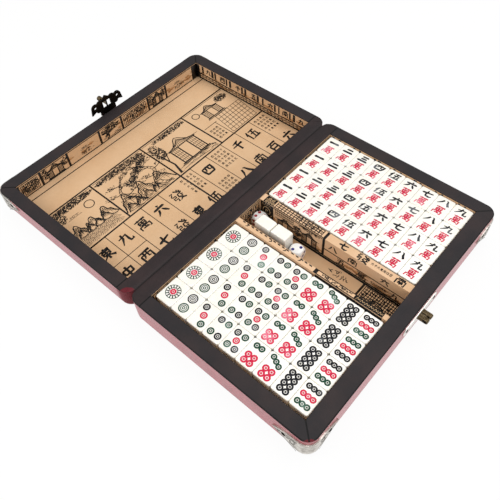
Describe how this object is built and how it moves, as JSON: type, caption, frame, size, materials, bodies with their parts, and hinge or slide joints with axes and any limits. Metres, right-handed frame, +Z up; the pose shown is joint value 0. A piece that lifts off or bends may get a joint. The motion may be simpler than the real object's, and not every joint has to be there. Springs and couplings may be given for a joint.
{
  "type": "mahjong set",
  "caption": "Hinged leather-covered travel case with two trays of mahjong tiles in stacked layers, dice and blank spare tiles, and a hasp latch.",
  "frame": {"origin": "middle of the base's underside, on the surface that the set stands on", "axes": "+Z up; +X from the hinge towards the base's front latch, so the open lid lies towards -X; +Y along the hinge, which is also the top of the tile faces"},
  "size_m": [0.3483, 0.2378, 0.0411],
  "materials": {
    "wood_board": "satin",
    "wood_frame": "matte",
    "red_leather": "satin",
    "rim_leather": "satin",
    "printed_paper": "matte",
    "divider_paper": "matte",
    "antique_metal": "satin",
    "nail_metal": "satin",
    "plate_metal": "satin",
    "bronze": "satin",
    "dark_bronze": "satin",
    "tile_resin": "gloss",
    "die_resin": "gloss"
  },
  "bodies": {
    "base": {"base_floor_board": "wood_board", "base_front_wall": "wood_frame", "base_rear_wall": "wood_frame", "base_near_wall": "wood_frame", "base_far_wall": "wood_frame", "base_bottom_leather": "red_leather", "base_side_leather": "red_leather", "base_rim_leather": "rim_leather", "base_hinge_leather": "rim_leather", "base_paper_lining": "printed_paper", "base_corner_guards": "antique_metal", "base_nails": "nail_metal", "base_latch_plate": "plate_metal", "base_staple": "bronze", "near_divider": "divider_paper", "far_divider": "divider_paper"},
    "lid": {"lid_top_board": "wood_board", "lid_front_wall": "wood_frame", "lid_rear_wall": "wood_frame", "lid_near_wall": "wood_frame", "lid_far_wall": "wood_frame", "lid_top_leather": "red_leather", "lid_side_leather": "red_leather", "lid_rim_leather": "rim_leather", "lid_hinge_leather": "rim_leather", "lid_paper_lining": "printed_paper", "lid_corner_guards": "antique_metal", "lid_nails": "nail_metal", "lid_hasp_plate": "plate_metal", "hasp_pin": "bronze"},
    "hasp": {"hasp_leaf": "dark_bronze", "hasp_peg": "bronze"},
    "dots_layer": {"dots_1": "tile_resin", "dots_2": "tile_resin", "dots_3": "tile_resin", "dots_4": "tile_resin", "dots_5": "tile_resin", "dots_6": "tile_resin", "dots_7": "tile_resin", "dots_8": "tile_resin", "dots_9": "tile_resin"},
    "characters_layer": {"characters_1": "tile_resin", "characters_2": "tile_resin", "characters_3": "tile_resin", "characters_4": "tile_resin", "characters_5": "tile_resin", "characters_6": "tile_resin", "characters_7": "tile_resin", "characters_8": "tile_resin", "characters_9": "tile_resin"},
    "bamboo_layer": {"bamboo_tiles": "tile_resin"},
    "honours_layer": {"wind_tiles": "tile_resin", "dragon_tiles": "tile_resin", "flower_tiles": "tile_resin"},
    "first_die": {"first_die": "die_resin"},
    "second_die": {"second_die": "die_resin"},
    "first_spare": {"first_spare_tile": "tile_resin"},
    "second_spare": {"second_spare_tile": "tile_resin"}
  },
  "joints": [
    {"name": "lid_hinge", "type": "hinge", "parent": "base", "child": "lid", "pos_m": [-0.0815, 0, 0.025], "axis": [0, 1, 0], "range_deg": [0, 180]},
    {"name": "hasp_hinge", "type": "hinge", "parent": "lid", "child": "hasp", "pos_m": [-0.2467, 0.006, 0.021], "axis": [0, -1, 0], "range_deg": [0, 110]},
    {"name": "bamboo_lift", "type": "slide", "parent": "base", "child": "bamboo_layer", "axis": [0, 0, -1], "range_m": [-0.034, 0]},
    {"name": "dots_lift", "type": "slide", "parent": "bamboo_layer", "child": "dots_layer", "axis": [0, 0, -1], "range_m": [-0.034, 0]},
    {"name": "honours_lift", "type": "slide", "parent": "base", "child": "honours_layer", "axis": [0, 0, -1], "range_m": [-0.034, 0]},
    {"name": "characters_lift", "type": "slide", "parent": "honours_layer", "child": "characters_layer", "axis": [0, 0, -1], "range_m": [-0.034, 0]},
    {"name": "first_die_lift", "type": "slide", "parent": "base", "child": "first_die", "axis": [0, 0, -1], "range_m": [-0.034, 0]},
    {"name": "second_die_lift", "type": "slide", "parent": "base", "child": "second_die", "axis": [0, 0, -1], "range_m": [-0.034, 0]},
    {"name": "first_spare_lift", "type": "slide", "parent": "base", "child": "first_spare", "axis": [0, 0, -1], "range_m": [-0.034, 0]},
    {"name": "second_spare_lift", "type": "slide", "parent": "base", "child": "second_spare", "axis": [0, 0, -1], "range_m": [-0.034, 0]}
  ]
}
